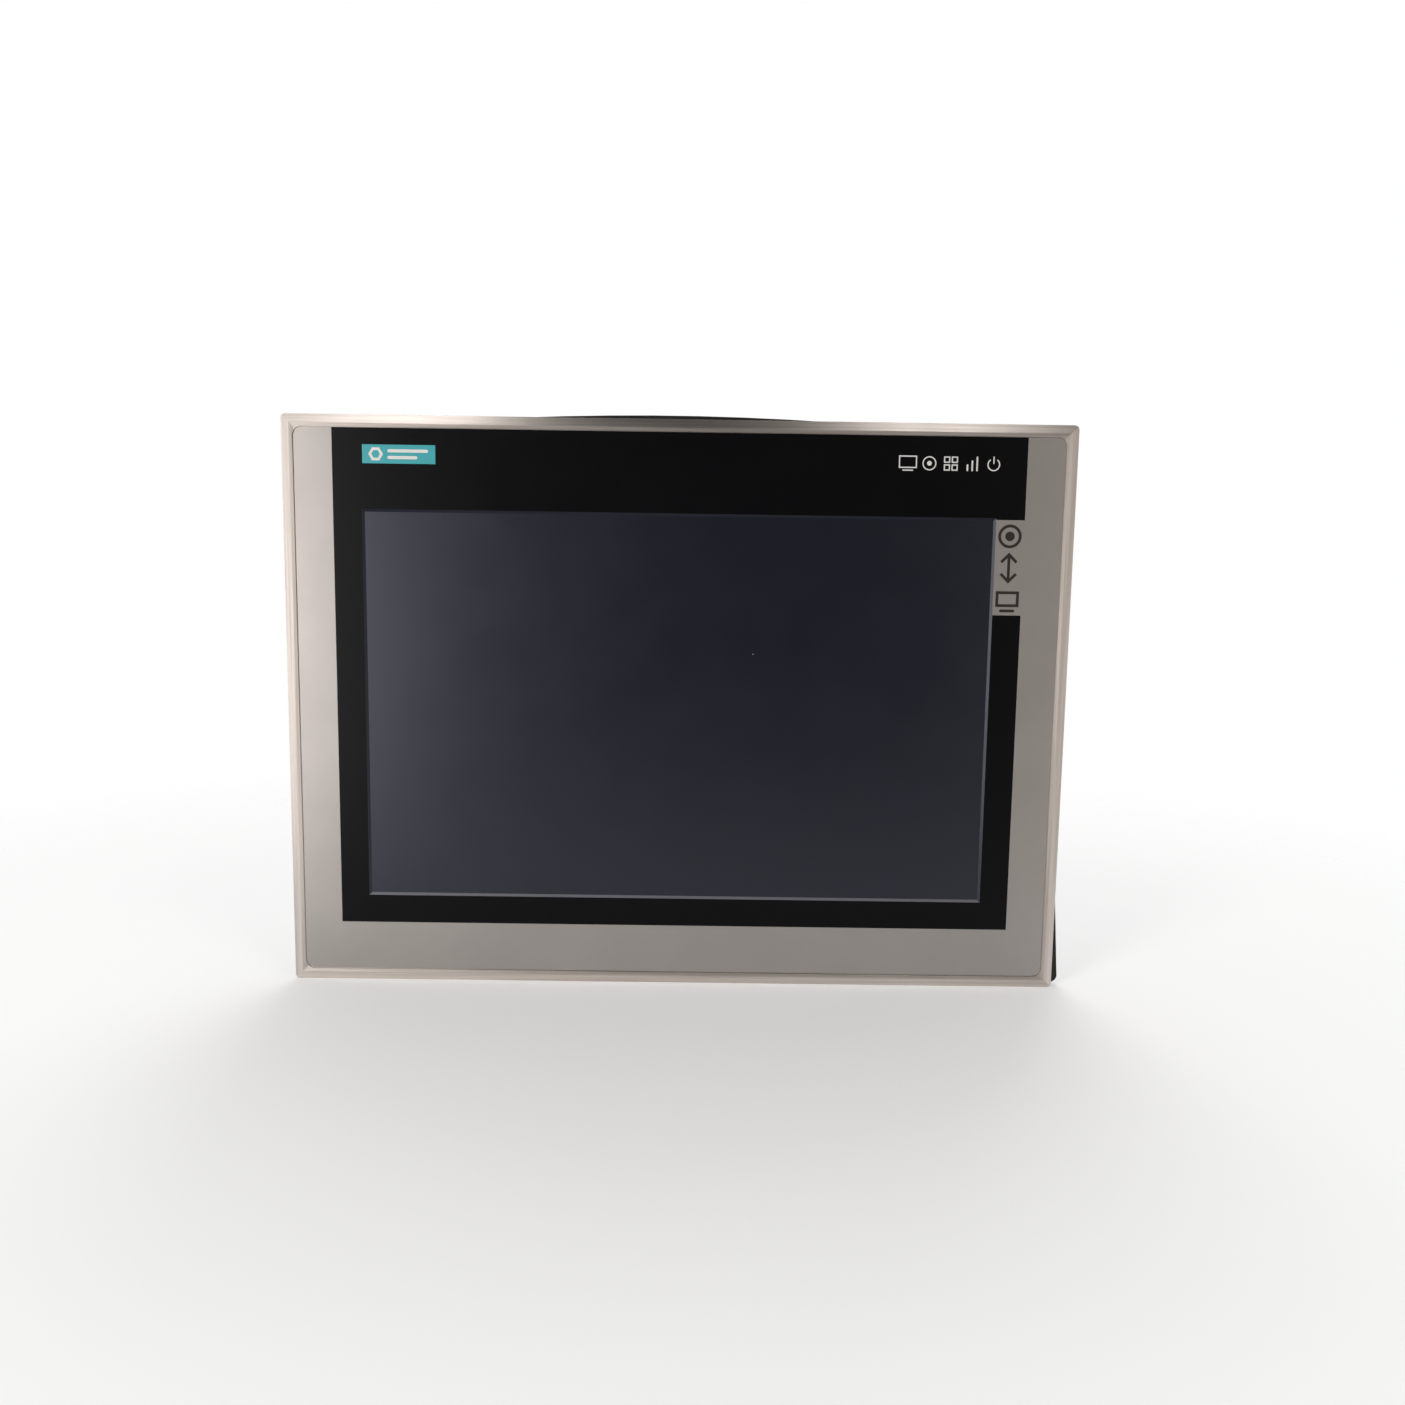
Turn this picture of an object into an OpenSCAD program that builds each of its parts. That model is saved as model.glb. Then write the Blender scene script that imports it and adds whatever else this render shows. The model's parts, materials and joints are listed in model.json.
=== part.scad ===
// Operator touch panel for a control cabinet. A cast front frame carries the foil, the touch
// sensor and the display, and seals against the cabinet wall. A sheet-steel housing behind it
// passes through the wall's cut-out and is held by twelve clips with clamping screws.
// X runs to the right and Z up, as seen from the front. Y runs into the cabinet.
// The origin is the centre of the cut-out, on the cabinet's front face. Units are millimetres.

/* [Front] */
// Width of the front frame
frame_w = 330; // [329:0.5:332]
// Height of the front frame
frame_h = 241; // [240:0.5:243]
// How far the front stands out of the cabinet wall
frame_proud = 8; // [8:0.5:10]
// Thickness of the rubber seal behind the frame
seal_t = 2.6; // [2.2:0.2:3]
// Width of the bevel along the frame's front edge
bevel_w = 3.6; // [2.8:0.2:3.8]
// Depth of that bevel
bevel_d = 1.5; // [1:0.1:2]
// Width of the flat land between the bevel and the foil
land_w = 1.5; // [1:0.1:1.6]

/* [Display] */
// Width of the display window
window_w = 263.8; // [262:0.2:264]
// Height of the display window
window_h = 164.5; // [163:0.5:165]
// Width of the black border, on the foil
border_w = 287.6; // [284:0.2:290]
// Lower edge of the black border
border_bottom = -94.5; // [-98:0.5:-92]
// Width of the sloping lip round the window
lip_w = 1.1; // [0.8:0.1:1.4]

/* [Housing] */
// Width of the housing, through a cut-out 310 wide
tub_w = 308.8; // [308:0.2:309.2]
// Height of the housing, through a cut-out 221 high
tub_h = 219.6; // [219:0.2:220]
// Depth of the full-width part of the housing
tub_d = 18; // [18:0.5:19]
// Depth of the whole housing behind the cabinet wall
box_d = 57; // [55:1:60]
// Thickness of the housing's sheet
sheet_t = 1; // [0.9:0.1:1.3]

/* [Clamping] */
// Gap for the cabinet wall that the screws stand at
wall_gap = 5.2; // [4.6:0.2:6]
// Radius of a clamping screw
clamp_r = 2; // [1.9:0.05:2.1]

/* [Hidden] */
CLAMPS = 12;
$fn = 48;

// Shared clearances
slip = 0.05;    // round a screw that turns in its thread
gap = 0.3;      // between parts that must not touch
over = 0.1;     // how far a cutting shape runs past a face
long = 400;     // longer than any side of the panel

// Depths, from the front back
front_y = -frame_proud;
recess_y = front_y + 0.5;
foil_t = 0.2;
foil_y = recess_y - foil_t;
film_floor_y = foil_y + 0.5;
glass_y = film_floor_y + foil_t;
glass_t = 1.8;
ledge_y = glass_y + glass_t;
ledge_back_y = ledge_y + 1.6;
frame_back_y = -seal_t;
carrier_y = 5;
carrier_t = 1.5;
carrier_back_y = carrier_y + carrier_t;
board_y = 19;
board_t = 1.6;
board_back_y = board_y + board_t;

// The foil, the window and the frame's inner shapes
recess_w = frame_w - 2 * (bevel_w + land_w);
recess_h = frame_h - 2 * (bevel_w + land_w);
recess_r = 4;
foil_gap = 0.3;
foil_top = recess_h / 2 - foil_gap;
window_z = -0.25;
tab_low = 41.7;
tab_high = 81.3;
glass_w = 278;
glass_h = 180;
aperture_w = 267;
aperture_h = 168;
frame_r = 2;
skirt_w = tub_w - 2 * sheet_t - 0.2;
skirt_h = tub_h - 2 * sheet_t - 0.2;
skirt_r = 3;
skirt_t = 2.1;
skirt_y = 4;
boss_r = 3.2;

// The flat tail of the touch sensor, which turns round the glass and runs back to the main board
tail_x = [44, 58];
tail_z = -93.5;
tail_t = 0.3;

// The small window in the display's tray and the carrier plate that the backlight's lead comes out of
lead_x = -110;
lead_z = -88;
lead_t = 1.6;
lead_window = 6;

// The display module
module_w = 278;
module_h = 182;
module_t = 0.8;
module_y = frame_back_y;
module_r = 0.5;
light_y = module_y + 2.4;
tray_y = 3.9;
tray_t = 1;

// The rear housing
box_x = 142;
box_low = -62;
box_high = 100;
box_slope = 18;
slot_w = 3;
vent_pitch = 10;
tub_r = 4;
flange_x = 152.5;
flange_high = 108;

// Screws, all M3 with pan heads, and the standoffs they go into
screw_r = 1.45;
screw_head_r = 2.75;
screw_head_t = 2;
thread_r = 1.5;
hole_r = 1.7;
post_r = 2.75;
BOSSES = [for (x = [-1, 1], z = [-1, 1]) each [[x * 146, z * 75], [x * 95, z * 98.5]]];
TUB_POSTS = [for (x = [-148, -60, 60, 148]) [x, -104.5]];
COVER_POSTS = concat([for (x = [-148, -60, 60, 148]) [x, 104.5]], [for (x = [-148, 148]) [x, -50]]);
MAIN_POSTS = [for (x = [-92, 20, 134], z = [-20, 88]) [x, z]];
POWER_POSTS = [for (x = [-134, -104], z = [-20, 88]) [x, z]];
rail_z = -92;
RAIL_X = [-76, 70];
RAIL_SCREWS = [for (x = RAIL_X) [x - sign(x) * 15, rail_z - 5]];

// Connectors on the underside of the housing, by the middle of each. A size is along X and Y.
port_z = box_low - 0.5;
power_size = [18, 12];
mini_size = [7.8, 4];
usb_size = [13.2, 5.8];
network_size = [16, 13.5];
insert_size = [19, 10.6];
audio_neck_r = 3;
lock_hole_r = 1.6;
power_x = -119;
pole_pitch = 5.08;
pole_r = 1.8;
audio_x = -84;
audio_y = board_back_y + 4.6;
pin_y = [board_back_y + 5.5, board_back_y + 6.5];
mini_x = -68;
USB_X = [-48, -30];
NETWORK_X = [-6, 12];
serial_x = 58;
serial_y = 28.2;
serial_pitch = 24.99;
card_x = [78, 106];
card_y = [board_back_y, 31.8];
CARD_SLOTS = [22.9, 28.5];
earth_x = -147;
earth_z = -84;

// Mounting clips, each as the turn about Y, the place along the edge and the wall's distance
CLIPS = concat(
    [for (x = [-125, -42, 42, 125]) [0, x, tub_h / 2]],
    [for (x = [-125, -42, 42, 125]) [180, x, tub_h / 2]],
    [for (z = [-60, 60]) [-90, z, tub_w / 2]],
    [for (z = [-60, 60]) [90, z, tub_w / 2]]);
clip_w = 14;
clip_out = 5.3;
clip_slot = [9, 15];

// ---- Helpers ----

// A rectangle with true round corners
module rounded(w, h, r) {
    square([w - 2 * r, h], center = true);
    square([w, h - 2 * r], center = true);
    for (x = [-1, 1], y = [-1, 1])
        translate([x * (w / 2 - r), y * (h / 2 - r)]) circle(r);
}

// Extrudes an outline drawn as X and Z between two depths
module along_y(y0, y1) {
    translate([0, y1, 0]) rotate([90, 0, 0]) linear_extrude(y1 - y0) children();
}

// Extrudes an outline drawn as Y and Z between two places along X
module along_x(x0, x1) {
    translate([x0, 0, 0]) rotate([90, 0, 90]) linear_extrude(x1 - x0) children();
}

// A round-cornered plate standing in the panel's plane
module plate(w, h, y0, y1, r = 1, z = 0) {
    translate([0, 0, z]) along_y(y0, y1) rounded(w, h, r);
}

// A box from its low and high place along each axis
module block(x, y, z) {
    translate([x[0], y[0], z[0]]) cube([x[1] - x[0], y[1] - y[0], z[1] - z[0]]);
}

// A box from its middle in X and Z, between two depths
module chip(x, z, w, h, y0, y1) {
    block([x - w / 2, x + w / 2], [y0, y1], [z - h / 2, z + h / 2]);
}

// A cylinder along Y
module rod(x, z, y0, y1, r) {
    translate([x, y0, z]) rotate([-90, 0, 0]) cylinder(h = y1 - y0, r = r);
}

// A hexagonal bar along Y, by the radius across its corners
module hex_rod(x, z, y0, y1, r) {
    translate([x, y0, z]) rotate([-90, 0, 0]) cylinder(h = y1 - y0, r = r, $fn = 6);
}

// A cylinder along Z
module drop(x, y, z0, z1, r) {
    translate([x, y, z0]) cylinder(h = z1 - z0, r = r);
}

// A pan-head screw with a cross recess, its head resting at depth y
module pan_screw(x, z, y, length) {
    recess = 1;
    difference() {
        union() {
            rod(x, z, y, y + screw_head_t, screw_head_r);
            rod(x, z, y - length, y + over, screw_r);
        }
        for (w = [[2.6, 0.6], [0.6, 2.6]])
            chip(x, z, w[0], w[1], y + screw_head_t - recess, y + screw_head_t + over);
    }
}

// A hexagonal standoff with a threaded rear end
module standoff(x, z, y0, y1) {
    thread = 7;
    difference() {
        hex_rod(x, z, y0, y1, post_r);
        rod(x, z, y1 - thread, y1 + over, thread_r);
    }
}

// A flat lead that turns square corners through [Y, Z] points
module flat_run(points, t, x0, x1) {
    for (i = [0:len(points) - 2]) {
        a = points[i];
        b = points[i + 1];
        block([x0, x1], [min(a[0], b[0]) - t / 2, max(a[0], b[0]) + t / 2],
              [min(a[1], b[1]) - t / 2, max(a[1], b[1]) + t / 2]);
    }
}

// Places what is drawn for a clip on the top edge at that clip
module at_clip(c) {
    rotate([0, c[0], 0]) translate([c[1], 0, c[2]]) children();
}

// ---- Front ----

// The wedge that cuts the bevel along one pair of the frame's edges
module bevel_cut(half) {
    for (s = [0, 1]) mirror([s, 0, 0]) translate([0, 0, -long / 2]) linear_extrude(long)
        polygon([[half - 1.5 * bevel_w, front_y - bevel_d / 2],
                 [half + bevel_w / 2, front_y + 1.5 * bevel_d],
                 [half + bevel_w / 2, front_y - bevel_d / 2]]);
}

module frame_body() {
    difference() {
        union() {
            plate(frame_w, frame_h, front_y, frame_back_y, frame_r);
            plate(skirt_w, skirt_h, frame_back_y - over, skirt_y, skirt_r);
        }
        bevel_cut(frame_w / 2);
        rotate([0, -90, 0]) bevel_cut(frame_h / 2);
        plate(skirt_w - 2 * skirt_t, skirt_h - 2 * skirt_t, ledge_back_y, skirt_y + over, skirt_r);
    }
    for (p = BOSSES) rod(p[0], p[1], ledge_back_y - over, carrier_y, boss_r);
}

module front_frame() color("silver") {
    thread = 6;
    room = 1;
    difference() {
        frame_body();
        plate(recess_w, recess_h, front_y - over, recess_y, recess_r);
        plate(glass_w + 2 * gap, glass_h + 2 * gap, recess_y - over, ledge_y, 1, window_z);
        plate(aperture_w, aperture_h, ledge_y - over, ledge_back_y + over, 1, window_z);
        block([tail_x[0] - room, tail_x[1] + room], [foil_y + 0.8, frame_back_y],
              [tail_z - 1.5 * room, tail_z + 4 * room]);
        for (p = BOSSES) rod(p[0], p[1], carrier_y - thread, carrier_y + over, thread_r);
    }
}

// The seal's outer outline. Loose on its seat, it bows out over the top edge of the frame
// and past the lower right corner.
module seal_outline() {
    bow_r = 1218;
    bow_top = 122.4;
    slip_out = 4.6;
    round_r = 3;
    set_in = 1;
    leans_from = -50;
    overlap = 6;
    edge = frame_w / 2 - set_in;
    low = -frame_h / 2 + set_in;
    rounded(frame_w - 2 * set_in, frame_h - 2 * set_in, round_r);
    intersection() {
        translate([-2, bow_top - bow_r]) circle(bow_r, $fn = 720);
        translate([-90, 105]) square([180, 20]);
    }
    polygon([[edge - overlap, leans_from], [edge, leans_from], [edge + slip_out, low + round_r],
             [edge - overlap, low + round_r]]);
    translate([edge + slip_out - round_r, low + round_r]) circle(round_r);
    translate([edge - 2 * overlap, low]) square([2 * overlap + slip_out - round_r, round_r]);
}

module mounting_seal() color([0.08, 0.08, 0.08]) {
    difference() {
        along_y(frame_back_y, 0) seal_outline();
        plate(tub_w + 2, tub_h + 2, frame_back_y - over, over, tub_r);
    }
}

module window_outline() {
    translate([0, window_z]) square([window_w, window_h], center = true);
}

module tab_outline() {
    translate([window_w / 2, tab_low])
        square([(border_w - window_w) / 2, tab_high - tab_low]);
}

module border_outline() {
    translate([-border_w / 2, border_bottom]) square([border_w, foil_top - border_bottom]);
}

module front_foil() color([0.72, 0.70, 0.68]) {
    along_y(foil_y, recess_y) {
        difference() {
            rounded(recess_w - 2 * foil_gap, recess_h - 2 * foil_gap, recess_r - foil_gap);
            translate([-border_w / 2, border_bottom]) square([border_w, long]);
        }
        tab_outline();
    }
}

module black_border() color([0.07, 0.07, 0.07]) {
    along_y(foil_y, recess_y) difference() {
        border_outline();
        window_outline();
        tab_outline();
    }
}

// One side view of the sunk window, wider towards the front
module lip_taper(half) {
    slope = lip_w / (film_floor_y - foil_y);
    polygon([[-half - over * slope, foil_y - over], [half + over * slope, foil_y - over],
             [half - lip_w, film_floor_y], [-half + lip_w, film_floor_y]]);
}

module touch_film() color([0.12, 0.13, 0.17]) {
    difference() {
        along_y(foil_y, glass_y) window_outline();
        translate([0, 0, window_z]) intersection() {
            translate([0, 0, -long / 2]) linear_extrude(long) lip_taper(window_w / 2);
            rotate([0, -90, 0]) translate([0, 0, -long / 2]) linear_extrude(long)
                lip_taper(window_h / 2);
        }
    }
}

module badge_plate() color([0.25, 0.68, 0.66]) {
    badge_w = 30.2;
    badge_h = 7.7;
    badge_t = 0.2;
    translate([-116.2, 0, 104.45]) along_y(foil_y - badge_t, foil_y)
        square([badge_w, badge_h], center = true);
}

// ---- Touch sensor and display ----

module touch_adhesive() color([0.9, 0.85, 0.6]) {
    difference() {
        plate(glass_w, glass_h, recess_y, glass_y, 1, window_z);
        along_y(recess_y - over, glass_y + over) window_outline();
    }
}

module touch_glass() color([0.6, 0.75, 0.75]) {
    plate(glass_w, glass_h, glass_y, ledge_y, 1, window_z);
}

module touch_tail() color([0.8, 0.5, 0.15]) {
    y = glass_y + glass_t / 2;
    edge = window_z - glass_h / 2 - tail_t / 2;
    under_y = 13;
    end = [16.5, -42.2];
    flat_run([[y, edge], [y, tail_z], [under_y, tail_z], [under_y, -45], [end[0], -45], end],
             tail_t, tail_x[0], tail_x[1]);
}

module display_gasket() color([0.15, 0.15, 0.15]) {
    difference() {
        plate(module_w - 2, module_h - 2, ledge_back_y, module_y, 1, window_z);
        plate(aperture_w, aperture_h, ledge_back_y - over, module_y + over, 1, window_z);
    }
}

module display_bezel() color([0.7, 0.7, 0.72]) {
    difference() {
        plate(module_w, module_h, module_y, carrier_y, 1, window_z);
        plate(module_w - 2 * module_t, module_h - 2 * module_t, module_y + module_t,
              carrier_y + over, module_r, window_z);
        plate(window_w + 1, window_h + 1, module_y - over, module_y + 1, module_r, window_z);
    }
}

module lcd_panel() color([0.1, 0.1, 0.14]) {
    plate(module_w - 2, module_h - 2, module_y + module_t, light_y, module_r, window_z);
}

module light_guide() color([0.9, 0.95, 0.98]) {
    chip(0, window_z + 2, module_w - 2, module_h - 6, light_y, tray_y);
}

module led_bar() color([0.95, 0.95, 0.6]) {
    bar_h = 2.4;
    bar_z = window_z - module_h / 2 + 1.6 + bar_h / 2;
    chip(0, bar_z, module_w - 4, bar_h, light_y, tray_y);
}

module display_tray() color([0.75, 0.75, 0.76]) {
    difference() {
        plate(module_w - 2, module_h - 2, tray_y, tray_y + tray_t, module_r, window_z);
        chip(lead_x, lead_z, lead_window, lead_window, tray_y - over, tray_y + tray_t + over);
    }
}

module carrier_plate() color([0.78, 0.79, 0.8]) {
    cut = [carrier_y - over, carrier_back_y + over];
    difference() {
        plate(skirt_w - 1, skirt_h - 1, carrier_y, carrier_back_y, skirt_r);
        for (p = BOSSES) rod(p[0], p[1], cut[0], cut[1], hole_r);
        for (x = [-90, 90], z = [-45, 40]) chip(x, z, 60, 40, cut[0], cut[1]);
        chip(-15, 68, 40, 12, cut[0], cut[1]);
        chip(lead_x, lead_z, lead_window, lead_window, cut[0], cut[1]);
        chip((tail_x[0] + tail_x[1]) / 2, tail_z, 16, 3, cut[0], cut[1]);
    }
}

module display_ribbon() color([0.85, 0.83, 0.78]) {
    flat_run([[5.1, 68], [12, 68], [12, 95.5], [22.3, 95.5], [22.3, 88.2]], 0.3, -30, 0);
}

module backlight_lead() color([0.75, 0.15, 0.12]) {
    half = 1.7;
    flat_run([[4.8, lead_z], [12, lead_z], [12, -36], [16.5, -36], [16.5, -34.7]],
             lead_t, lead_x - half, lead_x + half);
}

// ---- Boards ----

module standoffs() color([0.8, 0.68, 0.35]) {
    for (p = concat(MAIN_POSTS, POWER_POSTS)) standoff(p[0], p[1], carrier_back_y, board_y);
    for (p = concat(TUB_POSTS, COVER_POSTS))
        standoff(p[0], p[1], carrier_back_y, tub_d - sheet_t);
}

module case_screws() color([0.7, 0.7, 0.7]) {
    grip = 5;
    for (p = BOSSES) pan_screw(p[0], p[1], carrier_back_y, carrier_t + grip);
    for (p = concat(MAIN_POSTS, POWER_POSTS))
        pan_screw(p[0], p[1], board_back_y, board_t + grip);
    for (p = TUB_POSTS) pan_screw(p[0], p[1], tub_d, sheet_t + grip);
    for (p = COVER_POSTS) pan_screw(p[0], p[1], tub_d + sheet_t, 2 * sheet_t + grip);
    for (p = RAIL_SCREWS) pan_screw(p[0], p[1], tub_d + sheet_t, 2 * sheet_t + 2);
}

module board(x, posts) {
    difference() {
        block(x, [board_y, board_back_y], [-60.4, 92]);
        for (p = posts) rod(p[0], p[1], board_y - over, board_back_y + over, hole_r);
    }
}

module main_board() color([0.05, 0.35, 0.2]) board([-96, 138], MAIN_POSTS);

module power_board() color([0.06, 0.3, 0.22]) board([-138, -100], POWER_POSTS);

module board_chips() color([0.1, 0.1, 0.11]) {
    top = board_back_y;
    chip(40, 30, 27, 27, top, top + 1.8);
    for (z = [18, 34, 50]) chip(78, z, 14, 11, top, top + 1.1);
    for (x = [-10, 8]) chip(x, 30, 12, 18, top, top + 1.2);
    for (x = NETWORK_X) chip(x, -28, 10, 10, top, top + 1.2);
    chip(serial_x, -30, 18, 10, top, top + 2.4);
    for (x = [-72, -50]) chip(x, 10, 14, 14, top, top + 1.4);
    chip(-15, 84, 38, 8, top, top + 3.4);
    chip(51, -39, 18, 6, board_y - 4, board_y);
    chip(-110, -30.9, 8, 6, board_y - 4, board_y);
}

module heatsink() color([0.2, 0.2, 0.21]) {
    size = 50;
    base = 4;
    fins = 10;
    fin_t = 1.2;
    low = board_back_y + 1.8;
    pitch = (size - fin_t) / (fins - 1);
    chip(40, 30, size, size, low, low + base);
    for (i = [0:fins - 1])
        chip(40 - size / 2 + fin_t / 2 + i * pitch, 30, fin_t, size, low + base - over, low + 22);
}

module clock_cell() color([0.8, 0.8, 0.78]) {
    rod(112, 62, board_back_y, board_back_y + 5.2, 6.8);
}

module power_coils() color([0.25, 0.25, 0.27]) {
    for (z = [0, 18]) translate([-119, 0, z]) along_y(board_back_y, board_back_y + 8)
        rounded(13, 13, 2.5);
    chip(-119, 34, 20, 10, board_back_y, board_back_y + 11);
}

module power_capacitors() color([0.15, 0.15, 0.3]) {
    for (p = [[-128, 52], [-112, 52], [-120, 68]])
        rod(p[0], p[1], board_back_y, board_back_y + 20, 6);
}

// ---- Rear housing ----

// Side view of the raised cover, set in by t
module cover_profile(t) {
    front = tub_d - t;
    k = t * (sqrt(2) - 1);
    polygon([[front, box_low + t], [box_d - t, box_low + t],
             [box_d - t, box_high - box_slope - k], [box_d - box_slope - k, box_high - t],
             [front, box_high - t]]);
}

module vent_slots() {
    cut = 3;
    for (x = [-130:vent_pitch:130])
        block([x, x + slot_w], [22, 35], [box_high - cut, box_high + cut]);
    for (s = [-1, 1], z = [-40:vent_pitch:70])
        block([s * box_x - cut, s * box_x + cut], [26, 48], [z, z + slot_w]);
    for (x = [-115:vent_pitch:115]) block([x, x + slot_w], [box_d - cut, box_d + cut], [44, 70]);
}

// A window for a socket that stands on the main board
module port_cut(x, size, z) {
    block([x - size[0] / 2 - gap, x + size[0] / 2 + gap],
          [board_back_y - gap, board_back_y + size[1] + gap], z);
}

module port_cuts() {
    z = [box_low - 1, box_low + 2 * sheet_t];
    slot = 1.5;
    port_cut(power_x, power_size, z);
    port_cut(mini_x, mini_size, z);
    for (x = USB_X) port_cut(x, usb_size, z);
    for (x = NETWORK_X) port_cut(x, network_size, z);
    drop(audio_x, audio_y, z[0], z[1], audio_neck_r + gap);
    block([serial_x - insert_size[0] / 2 - gap, serial_x + insert_size[0] / 2 + gap],
          [serial_y - insert_size[1] / 2 - gap, serial_y + insert_size[1] / 2 + gap], z);
    for (s = [-1, 1]) drop(serial_x + s * serial_pitch / 2, serial_y, z[0], z[1], lock_hole_r);
    for (y = CARD_SLOTS) block([card_x[0] + 1.2, card_x[1] - 1.2], [y - slot, y + slot], z);
}

// The full-width tray, whose floor is open behind the boards
module rear_tub() color([0.75, 0.76, 0.77]) {
    floor_y = [tub_d - sheet_t - over, tub_d + over];
    difference() {
        plate(tub_w, tub_h, frame_back_y, tub_d, tub_r);
        plate(tub_w - 2 * sheet_t, tub_h - 2 * sheet_t, frame_back_y - over, tub_d - sheet_t,
              tub_r - sheet_t);
        block([-box_x + sheet_t, box_x - sheet_t], floor_y, [box_low + sheet_t, box_high - sheet_t]);
        for (p = concat(TUB_POSTS, COVER_POSTS, RAIL_SCREWS))
            rod(p[0], p[1], floor_y[0], floor_y[1], thread_r);
        for (c = CLIPS) at_clip(c) block([-5, 5], clip_slot, [-3, 1]);
    }
}

// The vented cover over the boards, screwed down through its flange
module rear_cover() color([0.78, 0.79, 0.8]) {
    foot = [tub_d, tub_d + sheet_t];
    difference() {
        union() {
            along_x(-box_x, box_x) cover_profile(0);
            block([-flange_x, flange_x], foot, [box_low, flange_high]);
        }
        along_x(-box_x + sheet_t, box_x - sheet_t) cover_profile(sheet_t);
        vent_slots();
        port_cuts();
        for (p = COVER_POSTS) rod(p[0], p[1], foot[0] - over, foot[1] + over, thread_r);
    }
}

module rating_plate() color([0.85, 0.85, 0.83]) {
    translate([0, 0, -8]) along_y(box_d, box_d + 0.3) rounded(100, 60, 3);
}

// ---- Connectors ----

module power_socket() color([0.15, 0.4, 0.2]) {
    y = [board_back_y, board_back_y + power_size[1]];
    side = power_size[0] / 2;
    wall = [1, 1.2];
    top = -50;
    difference() {
        block([power_x - side, power_x + side], y, [port_z, top]);
        block([power_x - side + wall[0], power_x + side - wall[0]],
              [y[0] + wall[1], y[1] - wall[1]], [port_z - over, top - 2]);
        for (s = [-1, 1]) chip(power_x + s * pole_pitch / 2, top - 1, 1, 3, pin_y[0], pin_y[1]);
    }
}

module power_pins() color([0.8, 0.7, 0.4]) {
    for (s = [-1, 1])
        chip(power_x + s * pole_pitch / 2, -55, 1, 11, pin_y[0], pin_y[1]);
}

module power_plug() color([0.18, 0.5, 0.25]) {
    y = [board_back_y + 1.5, board_back_y + 10.5];
    low = port_z - 12;
    difference() {
        union() {
            block([power_x - 7.7, power_x + 7.7], y, [port_z - gap, -52.6]);
            block([power_x - 8.8, power_x + 8.8], [y[0] - 1.2, y[1] + 1.2], [low, port_z - gap]);
        }
        for (s = [-1, 1]) {
            x = power_x + s * pole_pitch / 2;
            block([x - 0.9, x + 0.9], [y[0] + 3.6, y[0] + 5.4], [-61.9, -52]);
            block([x - 1.6, x + 1.6], [y[0] + 2.9, y[0] + 6.1], [low - over, low + 8]);
            rod(x, low + 5, y[0] + 6, y[1] + 2, pole_r + slip);
        }
    }
}

// A slotted screw that closes one pole of the plug
module terminal_screw(s) color([0.75, 0.75, 0.72]) {
    x = power_x + s * pole_pitch / 2;
    z = port_z - 7;
    y = [board_back_y + 8, board_back_y + 11];
    difference() {
        rod(x, z, y[0], y[1], pole_r);
        chip(x, z, 3, 0.6, y[1] - 0.8, y[1] + over);
    }
}

module network_ports() color([0.78, 0.79, 0.8]) {
    y = [board_back_y, board_back_y + network_size[1]];
    side = network_size[0] / 2;
    for (x = NETWORK_X) difference() {
        block([x - side, x + side], y, [port_z, port_z + 21]);
        block([x - 5.9, x + 5.9], [y[0] + 1.4, y[0] + 9.6], [port_z - over, port_z + 14]);
        block([x - 3, x + 3], [y[0] + 9.5, y[0] + 11.4], [port_z - over, port_z + 10]);
    }
}

// Outline of a D-shaped shell, set in by t
module d_outline(t) {
    r = 2 - t / 2;
    hull() for (p = [[-6.9, -2.4], [6.9, -2.4], [-7.6, 2.4], [7.6, 2.4]])
        translate([p[0] - sign(p[0]) * t / 2, p[1] - sign(p[1]) * t / 2]) circle(r, $fn = 32);
}

module serial_port() color([0.8, 0.8, 0.8]) {
    difference() {
        union() {
            block([serial_x - 15.4, serial_x + 15.4], [serial_y - 6.25, serial_y + 6.25],
                  [box_low - 1, box_low]);
            translate([serial_x, serial_y, box_low - 6.5]) linear_extrude(6) d_outline(0);
        }
        translate([serial_x, serial_y, box_low - 7]) linear_extrude(8) d_outline(1);
        for (s = [-1, 1])
            drop(serial_x + s * serial_pitch / 2, serial_y, box_low - 2, box_low + 1,
                 lock_hole_r);
    }
}

module serial_insert() color([0.12, 0.12, 0.12]) {
    contact_pitch = 2.76;
    contact_r = 0.6;
    row = 1.42;
    difference() {
        union() {
            translate([serial_x, serial_y, box_low - 6]) linear_extrude(6.2) d_outline(1.2);
            block([serial_x - insert_size[0] / 2, serial_x + insert_size[0] / 2],
                  [serial_y - insert_size[1] / 2, serial_y + insert_size[1] / 2],
                  [box_low, box_low + 10]);
        }
        for (i = [-2:2])
            drop(serial_x + i * contact_pitch, serial_y + row, box_low - 7, box_low, contact_r);
        for (i = [-1.5:1.5])
            drop(serial_x + i * contact_pitch, serial_y - row, box_low - 7, box_low, contact_r);
    }
}

module serial_standoffs() color([0.8, 0.8, 0.82]) {
    for (s = [-1, 1]) translate([serial_x + s * serial_pitch / 2, serial_y, box_low - 6])
        difference() {
            union() {
                cylinder(h = 5, r = 2.7, $fn = 6);
                translate([0, 0, 4]) cylinder(h = 7, r = 1.4);
            }
            translate([0, 0, -over]) cylinder(h = 5, r = 1.2);
        }
}

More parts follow.
